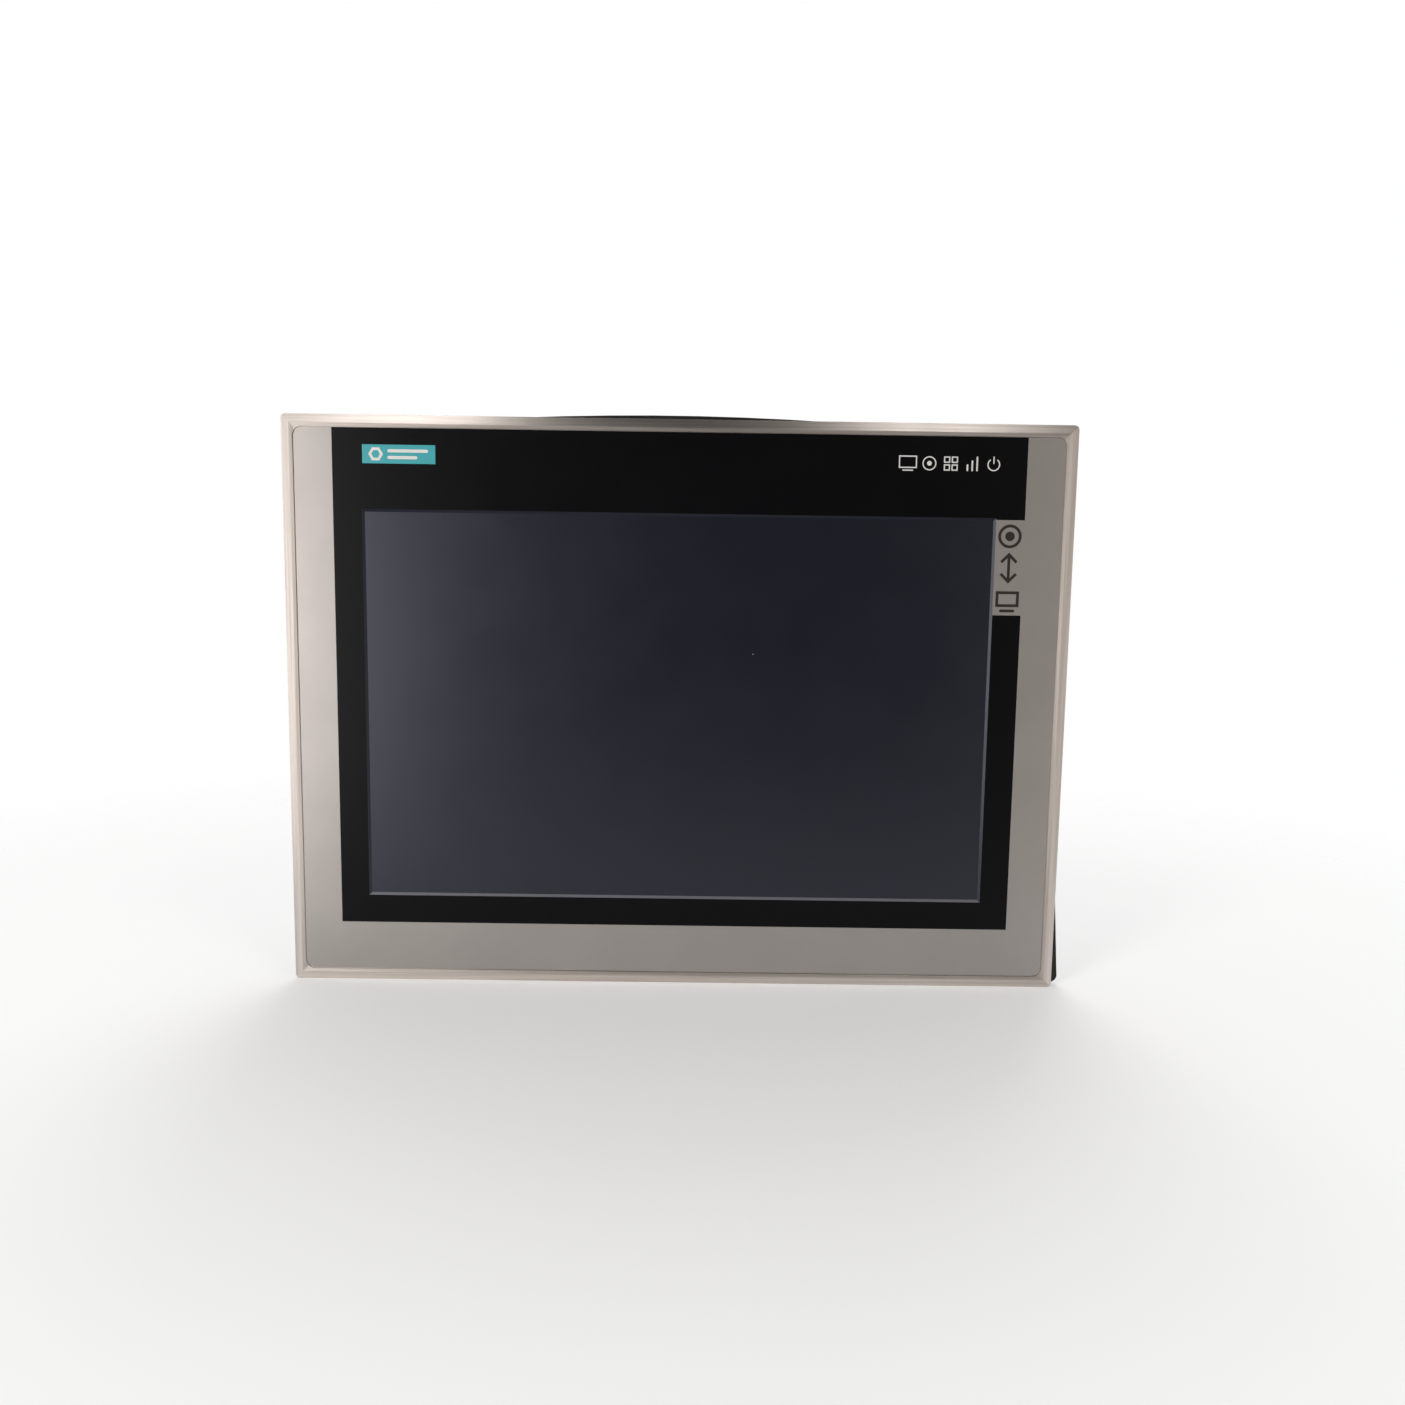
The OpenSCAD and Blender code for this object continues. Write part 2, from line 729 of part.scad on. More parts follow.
// Two full-size USB sockets and a mini one
module usb_ports() color([0.8, 0.81, 0.82]) {
    usb_wall = 0.35;
    mini_wall = 0.45;
    mini_top = -53.5;
    for (x = USB_X) {
        difference() {
            y = [board_back_y, board_back_y + usb_size[1]];
            side = usb_size[0] / 2;
            block([x - side, x + side], y, [port_z, port_z + 14]);
            block([x - side + usb_wall, x + side - usb_wall], [y[0] + usb_wall, y[1] - usb_wall],
                  [port_z - over, port_z + 11]);
        }
        block([x - 5.5, x + 5.5], [board_back_y + 3.3, board_back_y + 5.1],
              [port_z + 1, port_z + 11 + over]);
    }
    difference() {
        y = [board_back_y, board_back_y + mini_size[1]];
        side = mini_size[0] / 2;
        block([mini_x - side, mini_x + side], y, [port_z, mini_top]);
        block([mini_x - side + mini_wall, mini_x + side - mini_wall],
              [y[0] + mini_wall, y[1] - mini_wall], [port_z - over, mini_top - 2.5]);
    }
    block([mini_x - 1.8, mini_x + 1.8], [board_back_y + 1.6, board_back_y + 2.4],
          [port_z + 0.6, mini_top - 2.5 + over]);
}

module audio_jack() color([0.14, 0.14, 0.14]) {
    difference() {
        union() {
            block([audio_x - 4.5, audio_x + 4.5], [board_back_y, board_back_y + 9.2], [-60.2, -47]);
            drop(audio_x, audio_y, port_z - 0.8, -60, audio_neck_r);
        }
        drop(audio_x, audio_y, port_z - 1, -50, 1.8);
    }
}

module card_cage() color([0.76, 0.77, 0.78]) {
    difference() {
        block(card_x, card_y, [box_low + sheet_t + 0.2, -34]);
        for (y = CARD_SLOTS)
            block([card_x[0] + 1.6, card_x[1] - 1.6], [y - 1.2, y + 1.2], [-61, -37]);
    }
}

// The sliding lock that covers both card slots, with ribs to push it by
module card_lock() color([0.85, 0.45, 0.1]) {
    block([77, 108], [20.8, 33.2], [box_low - 1.8, box_low - gap]);
    for (x = [84:3:102]) block([x, x + 1.2], [23.5, 30.5], [box_low - 2.8, box_low - 1.7]);
}

// A rail that holds one edge of the lock against the housing
module lock_rail(s) {
    middle = 27;
    web = middle + s * 7.5;
    lip = middle + s * 5.1;
    x = [76, 137];
    block(x, [min(web, web - s), max(web, web - s)], [box_low - 2.9, box_low]);
    block(x, [min(web, lip), max(web, lip)], [box_low - 2.9, box_low - 2.1]);
}

module lock_rails() color([0.75, 0.76, 0.77]) for (s = [-1, 1]) lock_rail(s);

module earth_stud() color([0.8, 0.72, 0.4]) {
    rod(earth_x, earth_z, tub_d, tub_d + 0.8, 4);
    rod(earth_x, earth_z, tub_d + 0.7, tub_d + 14, 2.5);
}

module earth_hardware() color([0.82, 0.82, 0.8]) {
    washer = [tub_d + 0.8, tub_d + 1.8];
    nut = [tub_d + 1.8, tub_d + 5.8];
    difference() {
        union() {
            rod(earth_x, earth_z, washer[0], washer[1], 5);
            hex_rod(earth_x, earth_z, nut[0], nut[1], 4.6);
        }
        rod(earth_x, earth_z, washer[0] - over, nut[1] + over, 2.5 + slip);
    }
}

module cable_rail() color([0.78, 0.79, 0.8]) {
    foot = [tub_d, tub_d + sheet_t];
    pitch = 12;
    difference() {
        union() {
            block(RAIL_X, foot, [rail_z - 8.8, rail_z]);
            block(RAIL_X, [foot[0], 37], [rail_z - sheet_t, rail_z]);
        }
        for (p = RAIL_SCREWS) rod(p[0], p[1], foot[0] - over, foot[1] + over, hole_r);
        for (x = [RAIL_X[0] + 5.5:pitch:RAIL_X[1] - 6])
            block([x, x + slot_w], [23, 33], [rail_z - 2, rail_z + 1]);
    }
}

// ---- Mounting clips and clamping screws ----

// One clip on the top edge: a foot on the wall, an arm for the screw and a hook in the slot
module clip() {
    foot = 2;
    arm = [clip_slot[0] + 0.2, clip_slot[1] - 0.2];
    difference() {
        union() {
            block([-clip_w / 2, clip_w / 2], [7, 17.8], [gap, gap + foot]);
            block([-clip_w / 2, clip_w / 2], arm, [gap, 2 * clip_out - gap - 1]);
            block([-4.5, 4.5], [arm[0], arm[0] + 2.4], [-sheet_t - 2, 1]);
            block([-4.5, 4.5], arm, [-sheet_t - 2, -sheet_t - 0.8]);
        }
        rod(0, clip_out, arm[0] - over, arm[1] + over, clamp_r + slip);
    }
}

module mounting_clips() color([0.72, 0.73, 0.74]) for (c = CLIPS) at_clip(c) clip();

// A slotted clamping screw with a blunt tip that presses on the cabinet wall
module clamp_screw(i) color([0.6, 0.6, 0.62]) {
    length = 20;
    tip = 0.8;
    at_clip(CLIPS[i]) difference() {
        union() {
            rod(0, clip_out, wall_gap + tip, wall_gap + length, clamp_r);
            translate([0, wall_gap, clip_out]) rotate([-90, 0, 0])
                cylinder(h = tip, r1 = clamp_r * 0.6, r2 = clamp_r);
        }
        chip(0, clip_out, 5, 0.8, wall_gap + length - 1.2, wall_gap + length + over);
    }
}

front_frame();
mounting_seal();
front_foil();
black_border();
touch_film();
badge_plate();
touch_adhesive();
touch_glass();
touch_tail();
display_gasket();
display_bezel();
lcd_panel();
light_guide();
led_bar();
display_tray();
carrier_plate();
standoffs();
case_screws();
main_board();
board_chips();
heatsink();
clock_cell();
power_board();
power_coils();
power_capacitors();
display_ribbon();
backlight_lead();
rear_tub();
rear_cover();
rating_plate();
power_socket();
power_pins();
power_plug();
terminal_screw(-1);  // terminal_screw_1
terminal_screw(1);  // terminal_screw_2
network_ports();
serial_port();
serial_insert();
serial_standoffs();
usb_ports();
audio_jack();
card_cage();
card_lock();
lock_rails();
earth_stud();
earth_hardware();
cable_rail();
mounting_clips();
for (i = [1:CLAMPS]) clamp_screw(i - 1);
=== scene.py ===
import json
import math

import bmesh
import bpy
from mathutils import Matrix, Vector


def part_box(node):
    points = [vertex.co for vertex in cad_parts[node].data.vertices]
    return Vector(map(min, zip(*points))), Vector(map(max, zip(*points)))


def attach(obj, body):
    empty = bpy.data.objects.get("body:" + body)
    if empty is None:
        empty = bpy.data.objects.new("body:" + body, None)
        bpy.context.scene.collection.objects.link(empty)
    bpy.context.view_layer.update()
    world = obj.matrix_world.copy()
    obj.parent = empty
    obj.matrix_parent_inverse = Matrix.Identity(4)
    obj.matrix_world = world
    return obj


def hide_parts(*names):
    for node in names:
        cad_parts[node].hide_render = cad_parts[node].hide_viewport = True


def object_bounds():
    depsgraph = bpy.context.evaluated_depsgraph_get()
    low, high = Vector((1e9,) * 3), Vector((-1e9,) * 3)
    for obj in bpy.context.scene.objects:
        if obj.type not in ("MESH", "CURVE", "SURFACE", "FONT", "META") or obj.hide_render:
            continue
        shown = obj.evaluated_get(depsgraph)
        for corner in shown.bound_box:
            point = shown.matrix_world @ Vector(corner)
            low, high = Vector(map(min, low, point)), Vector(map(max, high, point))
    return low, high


# The looks of a panel-mount operator touch panel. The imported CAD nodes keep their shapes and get
# materials and soft edges; printed marks, threads and contacts are pieces made here.
# Lengths are in metres, in the row frame: X right, Y into the cabinet, Z up.

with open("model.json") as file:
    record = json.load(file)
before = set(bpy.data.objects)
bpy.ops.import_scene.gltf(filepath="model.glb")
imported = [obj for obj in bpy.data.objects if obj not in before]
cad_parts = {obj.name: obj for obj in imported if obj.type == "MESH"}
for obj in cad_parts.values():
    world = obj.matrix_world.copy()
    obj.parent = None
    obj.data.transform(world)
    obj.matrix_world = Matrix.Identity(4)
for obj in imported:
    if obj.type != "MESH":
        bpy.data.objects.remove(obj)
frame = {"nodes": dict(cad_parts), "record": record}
nodes = frame["nodes"]
cad_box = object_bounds()

MM = 0.001


def middle(node):
    """The middle of a CAD node's box."""
    low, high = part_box(node)
    return (low + high) / 2


def tone(red, green, blue):
    """A display colour from 0 to 255 as linear values."""
    shares = [v / 255 for v in (red, green, blue)]
    return tuple(v / 12.92 if v <= 0.04 else ((v + 0.055) / 1.055) ** 2.4 for v in shares)


# ---- Materials ----


class Finish:
    """A node-based material. Its textures use the row frame's coordinates, in metres."""

    def __init__(self, name, color, roughness, metallic=0.0, **sockets):
        self.data = bpy.data.materials.new(name)
        self.data.use_nodes = True
        self.tree = self.data.node_tree
        self.shader = self.tree.nodes["Principled BSDF"]
        self.color = (*color, 1)
        self.bumped = None
        self.put(self.shader, {"Base Color": self.color, "Roughness": roughness, "Metallic": metallic})
        self.put(self.shader, {name.replace("_", " "): value for name, value in sockets.items()})
        self.place = self.node("TexCoord").outputs["Object"]

    def put(self, node, sockets):
        """Sets or links a node's inputs, by name or number."""
        for name, value in sockets.items():
            if isinstance(value, bpy.types.NodeSocket):
                self.tree.links.new(value, node.inputs[name])
            else:
                node.inputs[name].default_value = value

    def node(self, kind, sockets=None, **settings):
        made = self.tree.nodes.new("ShaderNode" + kind)
        for name, value in settings.items():
            setattr(made, name, value)
        self.put(made, sockets or {})
        return made

    def noise(self, size, stretch=(1, 1, 1), detail=2.0):
        """Soft noise from 0 to 1 with features of that size, longer along an axis with a stretch."""
        scale = tuple(1 / (size * s) for s in stretch)
        where = self.node("Mapping", {"Vector": self.place, "Scale": scale}).outputs[0]
        return self.node("TexNoise", {"Vector": where, "Scale": 1.0, "Detail": detail}).outputs["Fac"]

    def cells(self, size, output="Distance"):
        return self.node("TexVoronoi", {"Vector": self.place, "Scale": 1 / size}).outputs[output]

    def math(self, operation, a, b=0.0):
        return self.node("Math", {0: a, 1: b}, operation=operation).outputs[0]

    def span(self, value, low, high, start=0.0, end=1.0):
        """Maps value from start...end to low...high, clamped."""
        sockets = {"Value": value, "From Min": start, "From Max": end, "To Min": low, "To Max": high}
        return self.node("MapRange", sockets).outputs[0]

    def mix(self, factor, a, b):
        a, b = [(*v, 1) if isinstance(v, tuple) and len(v) == 3 else v for v in (a, b)]
        return self.node("Mix", {0: factor, 6: a, 7: b}, data_type="RGBA").outputs[2]

    def shade(self, factor, dark, light=1.0):
        """Varies the base colour from dark to light times its value."""
        base = [tuple(c * k for c in self.color[:3]) for k in (dark, light)]
        self.put(self.shader, {"Base Color": self.mix(factor, *base)})

    def rough(self, factor, low, high):
        self.put(self.shader, {"Roughness": self.span(factor, low, high)})

    def bump(self, height, depth, strength=1.0):
        """Adds relief of that depth to what is there."""
        sockets = {"Height": height, "Distance": depth, "Strength": strength}
        if self.bumped:
            sockets["Normal"] = self.bumped
        self.bumped = self.node("Bump", sockets).outputs[0]
        self.put(self.shader, {"Normal": self.bumped})


def axes(finish):
    split = finish.node("SeparateXYZ", {0: finish.place})
    return split.outputs


def frame_metal():
    """Satin metal brushed along each side of the frame, with mitred brushing at the corners. The flat
    land is duller than the bevel."""
    m = Finish("frame_metal_look", tone(212, 204, 197), 0.42, 1.0, Anisotropic=0.9)
    x, _, z = axes(m)
    low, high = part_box("front_frame")
    overhang = (high.x - low.x - high.z + low.z) / 2
    reach = m.math("SUBTRACT", m.math("ABSOLUTE", x), m.math("ABSOLUTE", z))
    upright = m.math("GREATER_THAN", reach, overhang)
    fine = 0.00022
    along_x = m.noise(fine, (160, 1, 1), 4.0)
    along_z = m.noise(fine, (1, 1, 160), 4.0)
    grain = m.mix(upright, along_x, along_z)
    wide = m.mix(upright, m.noise(0.0011, (60, 1, 1)), m.noise(0.0011, (1, 1, 60)))
    blotch = m.noise(0.018, detail=3.0)
    m.put(m.shader, {"Tangent": m.mix(upright, (0, 0, 1), (1, 0, 0))})
    streak = m.mix(m.span(wide, 0, 1, 0.3, 0.7), tone(200, 191, 184), tone(222, 214, 207))
    m.put(m.shader, {"Base Color": streak})
    ahead = m.node("SeparateXYZ", {0: m.node("TexCoord").outputs["Normal"]}).outputs[1]
    streaks = m.math("ADD", m.math("MULTIPLY", grain, 0.6), m.math("MULTIPLY", blotch, 0.4))
    duller = m.span(ahead, 0.2, 0, -1, -0.95)
    m.put(m.shader, {"Roughness": m.math("ADD", m.span(streaks, 0.32, 0.47), duller)})
    m.bump(grain, 0.000012, 0.5)
    m.bump(wide, 0.00001, 0.4)
    return m.data


def foil_grain(m, depth):
    """The fine pebbled relief of the printed foil."""
    m.bump(m.noise(0.00035, detail=3.0), depth, 0.6)


def dust(m, size, share, color):
    """Sparse pale specks over the base colour that is already there."""
    spot = m.cells(size)
    pick = m.node("SeparateColor", {0: m.cells(size, "Color")}).outputs[0]
    small = m.math("LESS_THAN", spot, m.math("MULTIPLY", m.noise(size / 3), 0.045))
    speck = m.math("MULTIPLY", small, m.math("GREATER_THAN", pick, 1 - share))
    below = m.shader.inputs["Base Color"]
    under = below.links[0].from_socket if below.links else tuple(below.default_value[:3])
    m.put(m.shader, {"Base Color": m.mix(speck, under, color)})


def grey_foil():
    m = Finish("grey_foil_look", tone(163, 158, 154), 0.37, 0.48, Specular_IOR_Level=0.15)
    m.shade(m.span(m.noise(0.03, detail=3.0), 0, 1, 0.3, 0.7), 0.96, 1.02)
    m.rough(m.noise(0.012, detail=3.0), 0.33, 0.41)
    foil_grain(m, 0.00002)
    dust(m, 0.012, 0.12, tone(120, 114, 108))
    return m.data


def black_print():
    m = Finish("black_print_look", tone(12, 12, 14), 0.3, Specular_IOR_Level=0.09)
    m.shade(m.noise(0.04, detail=3.0), 0.85, 1.15)
    m.rough(m.noise(0.015, detail=4.0), 0.26, 0.38)
    foil_grain(m, 0.00001)
    dust(m, 0.014, 0.3, tone(120, 118, 116))
    return m.data


def dark_film():
    """Anti-glare film over the dark display: bluish, softly reflecting. Its lower lip, the step that faces
    up, carries a painted pale highlight.
    """
    m = Finish("dark_film_look", tone(15, 18, 29), 0.35, Specular_IOR_Level=0.6)
    m.put(m.shader, {"Specular Tint": (*tone(236, 240, 255), 1)})
    up = m.node("SeparateXYZ", {0: m.node("TexCoord").outputs["Normal"]}).outputs[2]
    m.shade(m.noise(0.05, detail=2.0), 0.8, 1.2)
    haze = m.span(m.noise(0.02, detail=4.0), 0.31, 0.39)
    m.put(m.shader, {"Roughness": m.math("MAXIMUM", haze, m.span(up, 0.9, 0, -0.3, -0.1))})
    m.bump(m.noise(0.0003, detail=2.0), 0.000008, 0.5)
    dust(m, 0.016, 0.4, tone(150, 150, 155))
    flat = m.shader.inputs["Base Color"].links[0].from_socket
    # Painted highlight: the base colour turns pale where the face points up, on the lower lip of the window.
    m.put(m.shader, {"Base Color": m.mix(m.span(up, 0, 1, 0.15, 0.3), flat, tone(108, 108, 114))})
    return m.data


def teal_plate():
    m = Finish("teal_plate_look", tone(50, 166, 174), 0.4)
    m.shade(m.noise(0.004, detail=3.0), 0.92, 1.05)
    m.rough(m.noise(0.003), 0.34, 0.48)
    m.bump(m.noise(0.0002), 0.000004, 0.5)
    return m.data


def ink(name, color):
    """Screen-printed ink, slightly uneven."""
    m = Finish(name, color, 0.42)
    m.shade(m.noise(0.0012, detail=4.0), 0.86, 1.05)
    m.rough(m.noise(0.0006), 0.34, 0.5)
    m.bump(m.noise(0.00015), 0.000003, 0.5)
    return m.data


def seal_rubber():
    """Matt black rubber with a pale bloom and moulding dust."""
    m = Finish("seal_rubber_look", tone(38, 33, 31), 0.62, Specular_IOR_Level=0.35)
    bloom = m.span(m.noise(0.006, (3, 1, 3), 5.0), 0, 1, 0.42, 0.75)
    m.shade(bloom, 0.6, 1.7)
    m.rough(bloom, 0.5, 0.75)
    m.bump(m.noise(0.0006, detail=4.0), 0.00003, 0.6)
    dust(m, 0.004, 0.25, tone(120, 115, 110))
    return m.data


def zinc_sheet(name="housing_steel_look", shift=0.0, light=1.0):
    """Hot-dip zinc-coated sheet: crystal-like spangle, slight rolling lines and handling marks.
    Sheets with another shift show another stretch of the pattern."""
    m = Finish(name, tone(176, 179, 182), 0.42, 1.0)
    m.place = m.node("Mapping", {"Vector": m.place, "Location": (shift, shift, shift)}).outputs[0]
    spangle = m.node("SeparateColor", {0: m.cells(0.0055, "Color")}).outputs[0]
    fine = m.node("SeparateColor", {0: m.cells(0.0021, "Color")}).outputs[1]
    both = m.math("ADD", m.math("MULTIPLY", spangle, 0.65), m.math("MULTIPLY", fine, 0.35))
    cloud = m.noise(0.035, detail=4.0)
    dull, bright = (tuple(v * light for v in c) for c in (tone(150, 153, 157), tone(196, 199, 202)))
    m.put(m.shader, {"Base Color": m.mix(m.span(m.math("ADD", both, cloud), 0, 1, 0.4, 1.6), dull, bright)})
    m.rough(m.math("MULTIPLY", m.math("ADD", both, cloud), 0.5), 0.3, 0.55)
    m.bump(both, 0.000012, 0.35)
    m.bump(m.noise(0.0004, (40, 1, 1), 3.0), 0.00001, 0.3)
    return m.data


def metal(name, color, rough=(0.25, 0.45), grain=0.0005, depth=0.00001, stretch=(1, 1, 1)):
    """Plain bare metal with a fine grain and a little tarnish."""
    m = Finish(name, color, rough[0], 1.0)
    m.shade(m.noise(0.006, detail=4.0), 0.82, 1.06)
    m.rough(m.noise(0.0015, stretch, 3.0), *rough)
    m.bump(m.noise(grain, stretch, 3.0), depth, 0.5)
    return m.data


def plastic(name, color, rough=(0.35, 0.55), grain=0.0004, depth=0.00002, dark=0.88):
    """Moulded plastic with a fine spark-eroded texture."""
    m = Finish(name, color, rough[0])
    m.shade(m.noise(0.005, detail=4.0), dark, 1.06)
    m.rough(m.noise(0.002, detail=3.0), *rough)
    m.bump(m.noise(grain, detail=3.0), depth, 0.6)
    return m.data


def board_laminate():
    """Green solder resist over copper tracks and ground areas, with small via dots."""
    m = Finish("board_laminate_look", tone(16, 84, 46), 0.3, Specular_IOR_Level=0.6)
    x, _, z = axes(m)
    pitch = 0.0024
    lanes = m.math("ABSOLUTE", m.math("SINE", m.math("MULTIPLY", x, math.pi / pitch)))
    rows = m.math("ABSOLUTE", m.math("SINE", m.math("MULTIPLY", z, math.pi / pitch)))
    turn = m.math("GREATER_THAN", m.noise(0.014, detail=1.0), 0.5)
    track = m.math("GREATER_THAN", m.mix(turn, lanes, rows), 0.72)
    ground = m.math("GREATER_THAN", m.noise(0.02, detail=2.0), 0.56)
    copper = m.math("MAXIMUM", track, ground)
    via = m.math("LESS_THAN", m.cells(0.0042), 0.1)
    resist = m.mix(copper, tone(10, 62, 34), tone(22, 104, 56))
    m.put(m.shader, {"Base Color": m.mix(via, resist, tone(190, 170, 110))})
    m.put(m.shader, {"Metallic": m.math("MULTIPLY", via, 0.9)})
    m.rough(m.noise(0.004), 0.25, 0.38)
    m.bump(copper, 0.00003, 0.6)
    return m.data


def display_cell():
    m = Finish("display_cell_look", tone(24, 25, 34), 0.2, Specular_IOR_Level=0.6)
    m.shade(m.noise(0.03), 0.8, 1.2)
    m.rough(m.noise(0.008), 0.14, 0.26)
    return m.data


def clear_sheet(name, color, thickness_tint, rough):
    """A clear sheet: light passes, edges carry a tint."""
    m = Finish(name, color, rough, Transmission_Weight=0.85, IOR=1.5)
    m.shade(m.noise(0.02), thickness_tint, 1.0)
    m.rough(m.noise(0.006), rough, rough + 0.05)
    return m.data


def ribbed(name, color, pitch, axis, depth, rough=(0.4, 0.55)):
    """Plastic with parallel cores, such as a ribbon, with painted shade in the grooves between the cores."""
    m = Finish(name, color, rough[0])
    wave = m.math("ABSOLUTE", m.math("SINE", m.math("MULTIPLY", axes(m)[axis], math.pi / pitch)))
    # Painted shade: the base colour darkens in the grooves between the cores, where the relief is low.
    m.shade(wave, 0.72, 1.05)
    m.rough(m.noise(0.002), *rough)
    m.bump(wave, depth)
    return m.data


def lamp_strip():
    """A white strip with yellow lamps at a regular pitch."""
    m = Finish("lamp_strip_look", tone(230, 229, 220), 0.45)
    x = axes(m)[0]
    lamp = m.math("GREATER_THAN", m.math("SINE", m.math("MULTIPLY", x, 2 * math.pi / 0.006)), 0.35)
    m.put(m.shader, {"Base Color": m.mix(lamp, tone(228, 227, 218), tone(232, 205, 92))})
    m.rough(m.noise(0.002), 0.35, 0.5)
    m.bump(lamp, 0.0001)
    return m.data


def foam():
    m = Finish("black_foam_look", tone(36, 36, 36), 0.85)
    pores = m.cells(0.0007)
    # Painted shade in the pore hollows and painted light on the ridges between them: the base colour follows
    # the relief.
    m.shade(pores, 0.5, 1.5)
    m.rough(pores, 0.75, 0.95)
    m.bump(pores, 0.0002)
    return m.data


LOOKS = {
    "frame_metal": frame_metal,
    "seal_rubber": seal_rubber,
    "grey_foil": grey_foil,
    "black_print": black_print,
    "dark_film": dark_film,
    "teal_plate": teal_plate,
    "adhesive_tape": lambda: plastic("adhesive_tape_look", tone(226, 218, 196), (0.5, 0.7)),
    "clear_glass": lambda: clear_sheet("clear_glass_look", tone(222, 236, 234), 0.9, 0.03),
    "amber_flex": lambda: ribbed("amber_flex_look", tone(206, 130, 44), 0.001, 0, 0.00004, (0.25, 0.4)),
    "black_foam": foam,
    "module_steel": lambda: metal("module_steel_look", tone(196, 197, 199), (0.26, 0.4), 0.0004,
                                  stretch=(30, 1, 1)),
    "display_cell": display_cell,
    "acrylic_sheet": lambda: clear_sheet("acrylic_sheet_look", tone(228, 240, 246), 0.94, 0.12),
    "lamp_strip": lamp_strip,
    "plate_aluminium": lambda: metal("plate_look", tone(206, 208, 210), (0.3, 0.48), stretch=(40, 1, 1)),
    "brass": lambda: metal("brass_look", tone(214, 180, 104), (0.22, 0.38)),
    "zinc_screw": lambda: metal("zinc_screw_look", tone(196, 198, 200), (0.2, 0.4)),
    "board_laminate": board_laminate,
    "chip_black": lambda: plastic("chip_black_look", tone(44, 44, 46), (0.4, 0.6)),
    "anodised_black": lambda: metal("anodised_black_look", tone(56, 56, 59), (0.35, 0.5)),
    "cell_can": lambda: metal("cell_can_look", tone(206, 206, 202), (0.2, 0.34)),
    "ferrite_grey": lambda: plastic("ferrite_grey_look", tone(78, 78, 80), (0.5, 0.7), 0.0006, 0.00006),
    "capacitor_sleeve": lambda: plastic("capacitor_sleeve_look", tone(42, 46, 84), (0.25, 0.4)),
    "ribbon_plastic": lambda: ribbed("ribbon_plastic_look", tone(224, 220, 208), 0.001, 0, 0.00008),
    "lead_rubber": lambda: plastic("lead_rubber_look", tone(186, 38, 30), (0.4, 0.6)),
    "housing_steel": zinc_sheet,
    "label_silver": lambda: metal("label_silver_look", tone(222, 222, 218), (0.42, 0.55), 0.0003, 0.000004),
    "socket_green": lambda: plastic("socket_green_look", tone(34, 112, 58)),
    "plug_green": lambda: plastic("plug_green_look", tone(44, 138, 72)),
    "port_metal": lambda: metal("port_metal_look", tone(208, 208, 206), (0.2, 0.32), 0.0002, 0.000004),
    "port_black": lambda: plastic("port_black_look", tone(32, 32, 33)),
    "lock_grey": lambda: plastic("lock_grey_look", tone(84, 85, 88)),
    "clip_metal": lambda: metal("clip_metal_look", tone(178, 180, 183), (0.38, 0.56), 0.0009, 0.00004),
}
looks = {slot: make() for slot, make in LOOKS.items()}
looks["cover_steel"] = zinc_sheet("cover_steel_look", 0.31, 0.9)
looks["rail_steel"] = zinc_sheet("rail_steel_look", 0.67, 1.08)
looks["white_ink"] = ink("white_ink_look", tone(232, 232, 228))
looks["black_ink"] = ink("black_ink_look", tone(36, 30, 28))
looks["grey_ink"] = ink("grey_ink_look", tone(92, 94, 98))
looks["gold_contact"] = metal("gold_contact_look", tone(232, 192, 104), (0.15, 0.28), 0.0002, 0.000004)
looks["lamp_green"] = plastic("lamp_green_look", tone(120, 196, 96), (0.15, 0.3))
looks["lamp_amber"] = plastic("lamp_amber_look", tone(224, 172, 64), (0.15, 0.3))

# Nodes cut from another sheet than the rest of the housing
SHEETS = {"rear_cover": "cover_steel", "cable_rail": "rail_steel"}

# How far each visible node's edges are softened, in millimetres
EDGES = {
    "front_frame": 0.22, "mounting_seal": 0.5, "badge_plate": 0.05, "rear_tub": 0.2, "rear_cover": 0.2,
    "rating_plate": 0.08, "power_socket": 0.2, "power_plug": 0.3, "network_ports": 0.2, "serial_port": 0.15,
    "serial_insert": 0.1, "serial_standoffs": 0.15, "usb_ports": 0.08, "audio_jack": 0.25, "card_cage": 0.15,
    "card_lock": 0.3, "lock_rails": 0.12, "earth_hardware": 0.25, "cable_rail": 0.15, "mounting_clips": 0.35,
    "case_screws": 0.12, "standoffs": 0.15, "heatsink": 0.12, "board_chips": 0.12, "power_coils": 0.4,
    "power_capacitors": 0.5, "clock_cell": 0.4, "terminal_screw_1": 0.1, "terminal_screw_2": 0.1,
    "carrier_plate": 0.15, "display_bezel": 0.15, "display_tray": 0.1, "main_board": 0.1, "power_board": 0.1,
    "front_foil": 0.04, "backlight_lead": 0.5, "touch_glass": 0.15,
}
SHARP = math.radians(28)
FLAT = math.radians(0.5)
SAME_POINT = 0.002 * MM


def soften(piece, width):
    """Joins a piece's flat faces and rounds its sharp edges by a bevel of that width."""
    weld = piece.modifiers.new("weld", "WELD")
    weld.merge_threshold = SAME_POINT
    flats = piece.modifiers.new("flats", "DECIMATE")
    flats.decimate_type = "DISSOLVE"
    flats.angle_limit = FLAT
    bevel = piece.modifiers.new("soft_edges", "BEVEL")
    bevel.width = width
    bevel.segments = 2
    bevel.limit_method = "ANGLE"
    bevel.angle_limit = SHARP
    bevel.harden_normals = True


def dress_nodes():
    """Gives every CAD node its material, and the visible ones soft edges."""
    for part in frame["record"]["subparts"]:
        node = nodes[part["node"]]
        node.data.materials.clear()
        node.data.materials.append(looks[SHEETS.get(part["node"], part["material_slot"])])
        if part["node"] in EDGES:
            soften(node, EDGES[part["node"]] * MM)


dress_nodes()

# ---- Pieces made here ----


